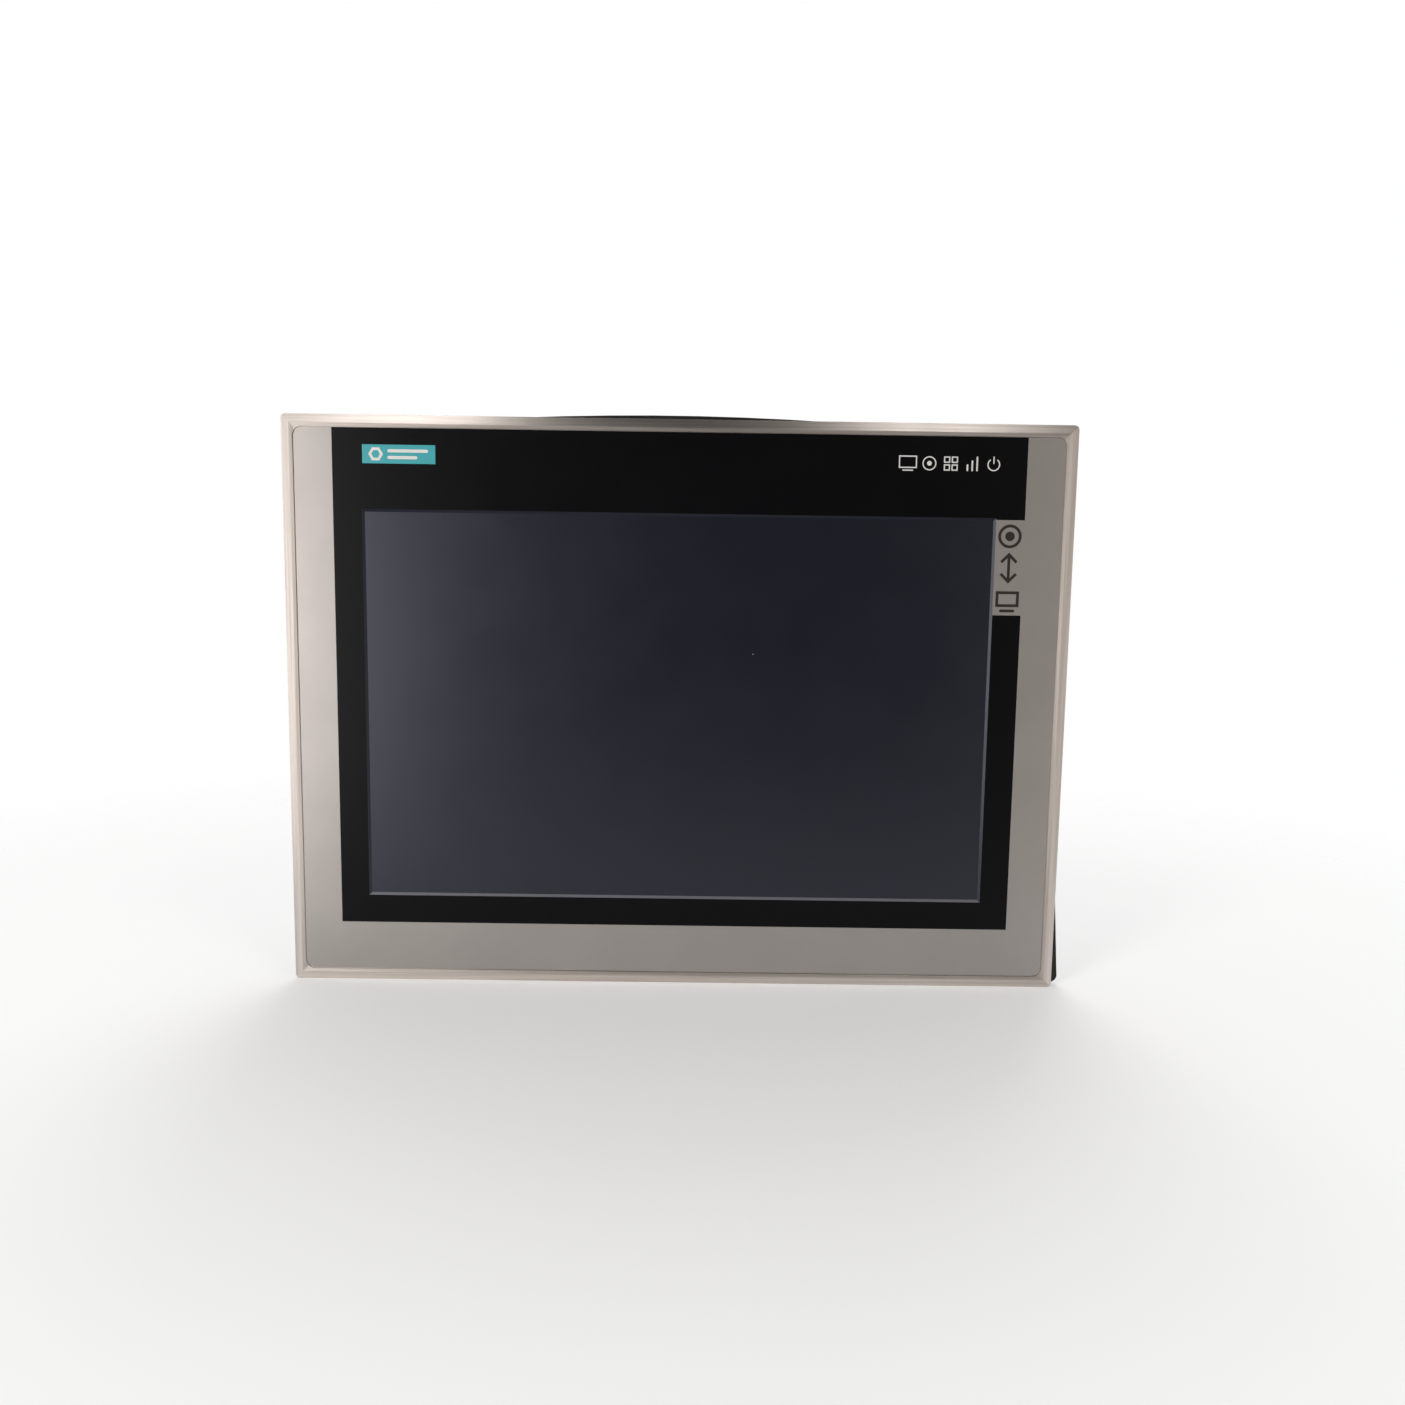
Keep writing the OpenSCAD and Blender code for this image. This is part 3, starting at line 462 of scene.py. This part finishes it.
def add_piece(name, shape, body, look):
    """Makes a piece from a bmesh in the row frame. It rides on a body."""
    bmesh.ops.recalc_face_normals(shape, faces=shape.faces)
    mesh = bpy.data.meshes.new(name)
    shape.to_mesh(mesh)
    shape.free()
    mesh.materials.append(looks[look])
    piece = bpy.data.objects.new(name, mesh)
    bpy.context.scene.collection.objects.link(piece)
    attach(piece, body)
    return piece


def skin(shape, rings, closed=True):
    """Joins rings of points into a tube, with flat ends where it isn't closed on itself."""
    made = [[shape.verts.new(p) for p in ring] for ring in rings]
    count = len(made[0])
    for a, b in zip(made, made[1:] + made[:1] if closed else made[1:]):
        for i in range(count):
            shape.faces.new((a[i], a[(i + 1) % count], b[(i + 1) % count], b[i]))
    if not closed:
        shape.faces.new(made[0])
        shape.faces.new(reversed(made[-1]))


def circle(radius, steps):
    """Points round a circle about the origin."""
    angles = [2 * math.pi * i / steps for i in range(steps)]
    return [(radius * math.cos(angle), radius * math.sin(angle)) for angle in angles]


def slab(shape, outline, depths):
    """A flat shape, given as X and Z points, between two depths."""
    skin(shape, [[Vector((x, y, z)) for x, z in outline] for y in depths], closed=False)


def bar(shape, start, end, width, depths):
    """A straight stroke with round ends."""
    start, end = Vector(start), Vector(end)
    turn = math.atan2(end.y - start.y, end.x - start.x)
    steps = 8
    outline = []
    for point, first in ((end, turn - math.pi / 2), (start, turn + math.pi / 2)):
        for i in range(steps + 1):
            angle = first + math.pi * i / steps
            outline.append((point.x + width / 2 * math.cos(angle),
                            point.y + width / 2 * math.sin(angle)))
    slab(shape, outline, depths)


def ring(shape, centre, radius, width, depths, start=0.0, sweep=2 * math.pi):
    """A round stroke, whole or an arc."""
    whole = sweep >= 2 * math.pi
    steps = max(6, round(40 * sweep / (2 * math.pi)))
    rings = []
    for i in range(steps if whole else steps + 1):
        angle = start + sweep * i / steps
        inner, outer = radius - width / 2, radius + width / 2
        corners = ((inner, depths[0]), (outer, depths[0]), (outer, depths[1]), (inner, depths[1]))
        rings.append([Vector((centre[0] + r * math.cos(angle), y, centre[1] + r * math.sin(angle)))
                      for r, y in corners])
    skin(shape, rings, closed=whole)


def path(shape, points, width, depths, closed=False):
    """A stroke along straight lines through points, with mitred corners."""
    points = [Vector(p) for p in points]
    count = len(points)
    rings = []
    for i, point in enumerate(points):
        before = point - points[i - 1] if closed or i > 0 else points[1] - point
        after = points[(i + 1) % count] - point if closed or i < count - 1 else before
        before, after = before.normalized(), after.normalized()
        across = Vector((-before.y - after.y, before.x + after.x)).normalized()
        reach = width / 2 / across.dot(Vector((-before.y, before.x)))
        near, far = point - across * reach, point + across * reach
        rings.append([Vector((near.x, depths[0], near.y)), Vector((far.x, depths[0], far.y)),
                      Vector((far.x, depths[1], far.y)), Vector((near.x, depths[1], near.y))])
    skin(shape, rings, closed=closed)


def lifted(depths):
    """Depths for a stroke that lies over another one."""
    return (depths[0] - 0.003 * MM, depths[1])


def rectangle(x, z, width, height):
    return [(x - width / 2, z - height / 2), (x + width / 2, z - height / 2),
            (x + width / 2, z + height / 2), (x - width / 2, z + height / 2)]


INK = 0.03 * MM


def printed(name, look, y, draw):
    """Ink on a face at depth y, drawn by a function that gets the shape and the ink's depths."""
    shape = bmesh.new()
    draw(shape, (y - INK, y + INK / 3))
    return add_piece(name, shape, "panel", look)


def badge_mark(shape, depths):
    """A plain generic emblem: a hexagon and two bars."""
    at = middle("badge_plate")
    stroke = 1.1 * MM
    radius = 2.4 * MM
    left = at.x - 9.5 * MM
    hexagon = [(left + x, at.z + z) for x, z in circle(radius, 6)]
    path(shape, hexagon, stroke, depths, closed=True)
    start, rise, thick = at.x - 4 * MM, 1.35 * MM, 1.3 * MM
    bar(shape, (start, at.z + rise), (at.x + 11.5 * MM, at.z + rise), thick, depths)
    bar(shape, (start, at.z - rise), (at.x + 7 * MM, at.z - rise), thick, depths)


def header_icons(shape, depths):
    """A row of thin pictograms: screen, tap, tiles, bars and power."""
    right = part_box("black_border")[1].x - 14 * MM
    z = middle("badge_plate").z - 0.4 * MM
    half = 2.9 * MM
    stroke = 0.5 * MM
    places = [right - i * 8.9 * MM for i in range(5)][::-1]
    path(shape, rectangle(places[0], z + 0.5 * MM, 7 * MM, 4.6 * MM), stroke, depths, closed=True)
    bar(shape, (places[0] - 2 * MM, z - half), (places[0] + 2 * MM, z - half), stroke, depths)
    ring(shape, (places[1], z), half - stroke / 2, stroke, depths)
    slab(shape, [(places[1] + dx, z + dz) for dx, dz in circle(MM, 24)], depths)
    for x in (-1, 1):
        for up in (-1, 1):
            tile = rectangle(places[2] + x * 1.6 * MM, z + up * 1.6 * MM, 2.1 * MM, 2.1 * MM)
            path(shape, tile, stroke, depths, closed=True)
    for i, height in enumerate((2.4, 4.0, 5.6)):
        x = places[3] + (i - 1) * 2 * MM
        bar(shape, (x, z - half + stroke / 2), (x, z - half + height * MM), stroke * 1.4, depths)
    gap = math.radians(70)
    ring(shape, (places[4], z - 0.2 * MM), half - 0.5 * MM, stroke, depths, (math.pi + gap) / 2,
         2 * math.pi - gap)
    bar(shape, (places[4], z + half), (places[4], z + 0.3 * MM), stroke, depths)


# The foil's tab, from its lower to its upper end
TAB = (41.7 * MM, 81.3 * MM)


def tab_icons(shape, depths):
    """Bold pictograms for touch, down the tab: tap, swipe and screen."""
    x = (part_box("touch_film")[1].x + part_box("black_border")[1].x) / 2
    stroke = 1.2 * MM
    top, low = TAB[1] - 6.7 * MM, TAB[0] + 6.2 * MM
    ring(shape, (x, top), 4.3 * MM, stroke, depths)
    slab(shape, [(x + dx, top + dz) for dx, dz in circle(2 * MM, 32)], depths)
    centre = (top + low) / 2 + 0.2 * MM
    reach = 5.6 * MM
    bar(shape, (x, centre - reach + stroke / 2), (x, centre + reach - stroke / 2), stroke, depths)
    barb = 3.2 * MM
    for way in (-1, 1):
        tip = centre + way * reach
        head = [(x - barb, tip - way * barb), (x, tip), (x + barb, tip - way * barb)]
        path(shape, head, stroke, lifted(depths))
    path(shape, rectangle(x, low + 0.6 * MM, 8.6 * MM, 5.4 * MM), stroke, depths, closed=True)
    bar(shape, (x - 2.6 * MM, low - 4.3 * MM), (x + 2.6 * MM, low - 4.3 * MM), stroke, depths)


def label_rules(shape, depths):
    """Blank fields ruled on the label."""
    low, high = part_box("rating_plate")
    at, width, height = (low + high) / 2, high.x - low.x, high.z - low.z
    line, margin = 0.35 * MM, 3 * MM
    field_w, field_h = width - 2 * margin, height - 2 * margin
    path(shape, rectangle(at.x, at.z, field_w, field_h), line, depths, closed=True)
    left, right = low.x + margin + line / 2, high.x - margin - line / 2
    top = high.z - margin - line / 2
    rows = [high.z - margin - share * field_h for share in (0.22, 0.42, 0.62)]
    for z in rows:
        slab(shape, rectangle((left + right) / 2, z, right - left, line), depths)
    column = low.x + 0.36 * width
    for a, b in zip([top] + rows, rows):
        slab(shape, rectangle(column, (a + b) / 2, line, a - b - line), depths)


foil_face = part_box("front_foil")[0].y
printed("badge_mark", "white_ink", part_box("badge_plate")[0].y, badge_mark)
printed("header_icons", "white_ink", foil_face, header_icons)
printed("tab_icons", "black_ink", foil_face, tab_icons)
label_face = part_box("rating_plate")[1].y
shape = bmesh.new()
label_rules(shape, (label_face - INK / 3, label_face + INK))
add_piece("label_rules", shape, "panel", "grey_ink")


def threaded(shape, length, radius, pitch, depth, chamfer, steps=24):
    """A screw thread along Y from the origin, with chamfered ends."""
    per_turn = 6
    count = round(length / pitch * per_turn)
    rings = []
    for i in range(count + 1):
        y = length * i / count
        end = min(y, length - y)
        limit = radius if end >= chamfer else radius - (chamfer - end) * 0.8
        row = []
        for k in range(steps):
            phase = (y / pitch - k / steps) % 1
            crest = radius - depth * abs(2 * phase - 1)
            angle = 2 * math.pi * k / steps
            r = min(crest, limit)
            row.append(Vector((r * math.cos(angle), y, r * math.sin(angle))))
        rings.append(row)
    skin(shape, rings, closed=False)


def cut_box(piece, low, high):
    """Cuts a box out of a piece's mesh."""
    shape = bmesh.new()
    bmesh.ops.create_cube(shape, size=1)
    size = [b - a for a, b in zip(low, high)]
    at = [(a + b) / 2 for a, b in zip(low, high)]
    bmesh.ops.transform(shape, matrix=Matrix.Translation(at) @ Matrix.Diagonal((*size, 1)), verts=shape.verts)
    mesh = bpy.data.meshes.new("cutter")
    shape.to_mesh(mesh)
    shape.free()
    cutter = bpy.data.objects.new("cutter", mesh)
    bpy.context.scene.collection.objects.link(cutter)
    cut = piece.modifiers.new("cut", "BOOLEAN")
    cut.object = cutter
    cut.solver = "EXACT"
    found = piece.evaluated_get(bpy.context.evaluated_depsgraph_get())
    result = bpy.data.meshes.new_from_object(found)
    piece.modifiers.clear()
    piece.data = result
    bpy.data.objects.remove(cutter)


def clamp_screws():
    """Threaded, slotted screws in place of the plain clamping screws."""
    low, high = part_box("clamp_screw_1")
    length, radius = high.y - low.y, (high.x - low.x) / 2
    pitch, depth, chamfer = 0.7 * MM, 0.38 * MM, 0.5 * MM
    shape = bmesh.new()
    threaded(shape, length, radius, pitch, depth, chamfer)
    mesh = bpy.data.meshes.new("screw_model")
    bmesh.ops.recalc_face_normals(shape, faces=shape.faces)
    shape.to_mesh(mesh)
    shape.free()
    model = bpy.data.objects.new("screw_model", mesh)
    bpy.context.scene.collection.objects.link(model)
    half_slot, slot_depth = 0.4 * MM, 1.2 * MM
    cut_box(model, (-1.5 * radius, length - slot_depth, -half_slot), (1.5 * radius, length + MM, half_slot))
    count = sum(name.startswith("clamp_screw_") for name in nodes)
    for i in range(1, count + 1):
        node = f"clamp_screw_{i}"
        at = middle(node)
        turn = 0 if abs(at.z) > abs(at.x) * (cad_box[1].z / cad_box[1].x) else math.pi / 2
        place = Matrix.Translation((at.x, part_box(node)[0].y, at.z)) @ Matrix.Rotation(turn, 4, "Y")
        mesh = model.data.copy()
        mesh.transform(place)
        mesh.materials.clear()
        mesh.materials.append(looks["zinc_screw"])
        piece = bpy.data.objects.new(f"threaded_screw_{i}", mesh)
        bpy.context.scene.collection.objects.link(piece)
        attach(piece, f"screw_{i}")
        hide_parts(node)
    bpy.data.objects.remove(model)


def earth_thread():
    """A threaded stud on its round foot, in place of the plain one."""
    low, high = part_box("earth_stud")
    at = middle("earth_stud")
    foot = 0.8 * MM
    radius, pitch, depth, chamfer = 2.5 * MM, 0.8 * MM, 0.45 * MM, 0.6 * MM
    shape = bmesh.new()
    threaded(shape, high.y - low.y - foot / 2, radius, pitch, depth, chamfer, 32)
    bmesh.ops.translate(shape, vec=(at.x, low.y + foot / 2, at.z), verts=shape.verts)
    base = circle((high.x - low.x) / 2, 40)
    ends = [[Vector((at.x + x, y, at.z + z)) for x, z in base] for y in (low.y, low.y + foot)]
    skin(shape, ends, closed=False)
    piece = add_piece("earth_stud_thread", shape, "panel", "brass")
    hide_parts("earth_stud")


def tube(shape, centre, radii, z_range, steps=20):
    """A hollow tube along Z, by its inner and outer radius."""
    inner, outer = radii
    low, high = z_range
    rings = []
    for x, y in circle(1, steps):
        corners = ((inner, low), (outer, low), (outer, high), (inner, high))
        rings.append([Vector((centre[0] + r * x, centre[1] + r * y, z)) for r, z in corners])
    skin(shape, rings)


def brick(shape, low, high):
    """A block between two corners."""
    corners = [(low[0], low[1]), (high[0], low[1]), (high[0], high[1]), (low[0], high[1])]
    skin(shape, [[Vector((x, y, z)) for x, y in corners] for z in (low[2], high[2])], closed=False)


def serial_contacts():
    """Nine gold sockets in the serial connector, in a row of five and a row of four."""
    row, pitch = 1.42 * MM, 2.76 * MM
    at = middle("serial_insert")
    y = middle("serial_port").y
    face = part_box("serial_insert")[0].z
    shape = bmesh.new()
    for shift, count in ((row, 5), (-row, 4)):
        for i in range(count):
            x = at.x + (i - (count - 1) / 2) * pitch
            tube(shape, (x, y + shift), (0.33 * MM, 0.56 * MM), (face + 0.15 * MM, face + 4 * MM))
    add_piece("serial_contacts", shape, "panel", "gold_contact")


def strip(shape, points, width, thickness, x):
    """A flat spring wire at one place along X, through points given as Y and Z."""
    left, right = x - width / 2, x + width / 2
    rings = []
    for i, (y, z) in enumerate(points):
        before, after = points[max(0, i - 1)], points[min(len(points) - 1, i + 1)]
        along = Vector((after[0] - before[0], after[1] - before[1])).normalized()
        side = Vector((-along.y, along.x)) * thickness / 2
        rings.append([Vector((left, y + side.x, z + side.y)), Vector((right, y + side.x, z + side.y)),
                      Vector((right, y - side.x, z - side.y)), Vector((left, y - side.x, z - side.y))])
    skin(shape, rings, closed=False)


def network_details():
    """Contact wires, dark linings and status lamps of the two network sockets."""
    low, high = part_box("network_ports")
    wires, lining = bmesh.new(), bmesh.new()
    lamps = {"green": bmesh.new(), "amber": bmesh.new()}
    wall = 0.12 * MM
    half_width, half_mouth, half_floor = 8 * MM, 5.9 * MM, 5.7 * MM
    near, far = low.y + 1.4 * MM, low.y + 9.6 * MM
    rim, end = low.z + 0.4 * MM, low.z + 14 * MM
    wire_count, wire_pitch = 8, 1.02 * MM
    wire = [(low.y + 2.0 * MM, low.z + 13.6 * MM), (low.y + 2.2 * MM, low.z + 3.4 * MM),
            (low.y + 2.9 * MM, low.z + 2.4 * MM), (low.y + 5.6 * MM, low.z + 9.6 * MM)]
    for x in (low.x + half_width, high.x - half_width):
        for i in range(wire_count):
            strip(wires, wire, 0.45 * MM, 0.25 * MM, x + (i - (wire_count - 1) / 2) * wire_pitch)
        for side in (-1, 1):
            edge = x + side * half_mouth
            brick(lining, (min(edge, edge - side * wall), near, rim),
                  (max(edge, edge - side * wall), far, end))
        brick(lining, (x - half_floor, near, rim), (x + half_floor, near + wall, end))
        brick(lining, (x - half_floor, near + wall, end - wall), (x + half_floor, far, end))
        for side, name in ((-1, "green"), (1, "amber")):
            at = x + side * 5.5 * MM
            brick(lamps[name], (at - 1.5 * MM, low.y + 10.6 * MM, low.z - 0.15 * MM),
                  (at + 1.5 * MM, low.y + 12.4 * MM, low.z + 0.6 * MM))
    add_piece("network_wires", wires, "panel", "gold_contact")
    add_piece("network_lining", lining, "panel", "port_black")
    for name, shape in lamps.items():
        soften(add_piece(f"network_lamp_{name}", shape, "panel", f"lamp_{name}"), 0.1 * MM)


def usb_details():
    """Black tongues with gold contacts in the USB sockets."""
    low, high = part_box("usb_ports")
    tongues, gold = bmesh.new(), bmesh.new()
    near = low.y + 3.3 * MM
    over = 0.04 * MM
    half_width, half_tongue, spacing = 6.6 * MM, 5.5 * MM, 18 * MM
    contact_count, contact_pitch = 4, 2.3 * MM
    for x in (high.x - half_width, high.x - half_width - spacing):
        brick(tongues, (x - half_tongue - over, near - over, low.z + MM - over),
              (x + half_tongue + over, near + 1.8 * MM + over, low.z + 11 * MM))
        for i in range(contact_count):
            at = x + (i - (contact_count - 1) / 2) * contact_pitch
            brick(gold, (at - 0.5 * MM, near - 2.5 * over, low.z + 1.8 * MM),
                  (at + 0.5 * MM, near, low.z + 10 * MM))
    add_piece("usb_tongues", tongues, "panel", "port_black")
    add_piece("usb_contacts", gold, "panel", "gold_contact")


def audio_ring():
    """The bright ring at the audio jack's mouth."""
    low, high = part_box("audio_jack")
    at = (low + high) / 2
    shape = bmesh.new()
    tube(shape, (at.x, at.y), (1.82 * MM, 2.5 * MM), (low.z - 0.2 * MM, low.z + 0.3 * MM), 32)
    soften(add_piece("audio_ring", shape, "panel", "port_metal"), 0.08 * MM)


clamp_screws()
earth_thread()
serial_contacts()
network_details()
usb_details()
audio_ring()

# ---- Floor, light and camera ----


# How strongly the floor glows, for the light that comes back from the rest of a white room
GLOW = 0.3


def floor():
    """A pale matt floor that fades into the background, and is open when seen from below."""
    below = 0.2 * MM
    shape = bmesh.new()
    bmesh.ops.create_circle(shape, cap_ends=True, segments=96, radius=0.65)
    mesh = bpy.data.meshes.new("floor")
    shape.to_mesh(mesh)
    shape.free()
    m = Finish("floor_look", (0.86, 0.86, 0.86), 0.9, Specular_IOR_Level=0.1, Emission_Color=(1, 1, 1, 1),
               Emission_Strength=GLOW)
    m.shade(m.noise(0.2), 0.99, 1.01)
    x, y, _ = axes(m)
    far = m.math("SQRT", m.math("ADD", m.math("MULTIPLY", x, x), m.math("MULTIPLY", y, y)))
    clear = m.node("BsdfTransparent").outputs[0]
    open_part = m.math("MAXIMUM", m.span(far, 0, 1, 0.15, 0.6), m.node("NewGeometry").outputs["Backfacing"])
    fade = m.node("MixShader", {0: open_part, 1: m.shader.outputs[0], 2: clear}).outputs[0]
    m.put(m.tree.nodes["Material Output"], {"Surface": fade})
    mesh.materials.append(m.data)
    ground = bpy.data.objects.new("floor", mesh)
    ground.location.z = cad_box[0].z - below
    bpy.context.scene.collection.objects.link(ground)


def softbox(name, place, aim, size, power, color=(1, 1, 1)):
    light = bpy.data.lights.new(name, "AREA")
    light.shape = "RECTANGLE"
    light.size, light.size_y = size
    light.energy = power
    light.color = color
    box = bpy.data.objects.new(name, light)
    box.location = place
    box.rotation_euler = (Vector(aim) - Vector(place)).to_track_quat("-Z", "Y").to_euler()
    bpy.context.scene.collection.objects.link(box)


def studio():
    """A strong softbox at the left, a weak one at the right and two beside them for the side bevels,
    two strips above for the top bevel, one behind, and a background that is white to the camera."""
    soft = (1.0, 0.975, 0.96)
    warm = (1.0, 0.94, 0.88)
    softbox("left_key", (-0.60, -0.78, 0.0), (-0.12, 0, 0), (0.32, 0.7), 5.3, soft)
    softbox("right_key", (0.62, -0.80, 0.0), (0.12, 0, 0), (0.3, 0.7), 0.94, warm)
    softbox("left_wall", (-0.76, -0.48, 0.0), (-0.15, 0, 0), (0.4, 0.8), 0.2, soft)
    softbox("right_wall", (0.76, -0.45, 0.0), (0.15, 0, 0), (0.4, 0.8), 0.75, warm)
    softbox("left_strip", (-0.305, -0.483, 0.733), (-0.305, 0, 0.11), (0.16, 0.35), 1.1, soft)
    softbox("right_strip", (0.267, -0.483, 0.733), (0.267, 0, 0.11), (0.17, 0.35), 0.85, soft)
    softbox("rear_softbox", (0.2, 1.3, 0.9), (0, 0, 0), (1.2, 1.0), 10.0)
    world = bpy.data.worlds.new("studio")
    world.use_nodes = True
    tree = world.node_tree
    back = tree.nodes["Background"]
    lit = tree.nodes.new("ShaderNodeBackground")
    split = tree.nodes.new("ShaderNodeSeparateXYZ")
    where = tree.nodes.new("ShaderNodeTexCoord")
    span = tree.nodes.new("ShaderNodeMapRange")
    seen = tree.nodes.new("ShaderNodeLightPath")
    both = tree.nodes.new("ShaderNodeMixShader")
    tree.links.new(where.outputs["Generated"], split.inputs[0])
    tree.links.new(split.outputs["Y"], span.inputs["Value"])
    for name, value in (("From Min", -0.3), ("From Max", 0.8), ("To Min", 0.05), ("To Max", 1.0)):
        span.inputs[name].default_value = value
    tree.links.new(span.outputs[0], lit.inputs["Strength"])
    back.inputs["Color"].default_value = (1, 1, 1, 1)
    tree.links.new(seen.outputs["Is Camera Ray"], both.inputs[0])
    tree.links.new(lit.outputs[0], both.inputs[1])
    tree.links.new(back.outputs[0], both.inputs[2])
    tree.links.new(both.outputs[0], tree.nodes["World Output"].inputs["Surface"])
    bpy.context.scene.world = world
    bpy.context.scene.view_settings.view_transform = "Standard"


def camera():
    """A hand-held view of the front, from a little above and right of its middle."""
    lens = bpy.data.cameras.new("camera")
    lens.lens = 29.2
    lens.sensor_width = 36
    lens.clip_start = 0.01
    view = bpy.data.objects.new("camera", lens)
    tilt, turn, roll = math.radians(6.7), math.radians(-0.32), math.radians(0.84)
    level = Matrix.Rotation(math.pi / 2 - tilt, 4, "X")
    aim = Matrix.Rotation(turn, 4, "Z") @ level @ Matrix.Rotation(roll, 4, "Z")
    view.matrix_world = Matrix.Translation((7.97 * MM, -487.3 * MM, 59.4 * MM)) @ aim
    bpy.context.scene.collection.objects.link(view)
    bpy.context.scene.camera = view


floor()
studio()
camera()
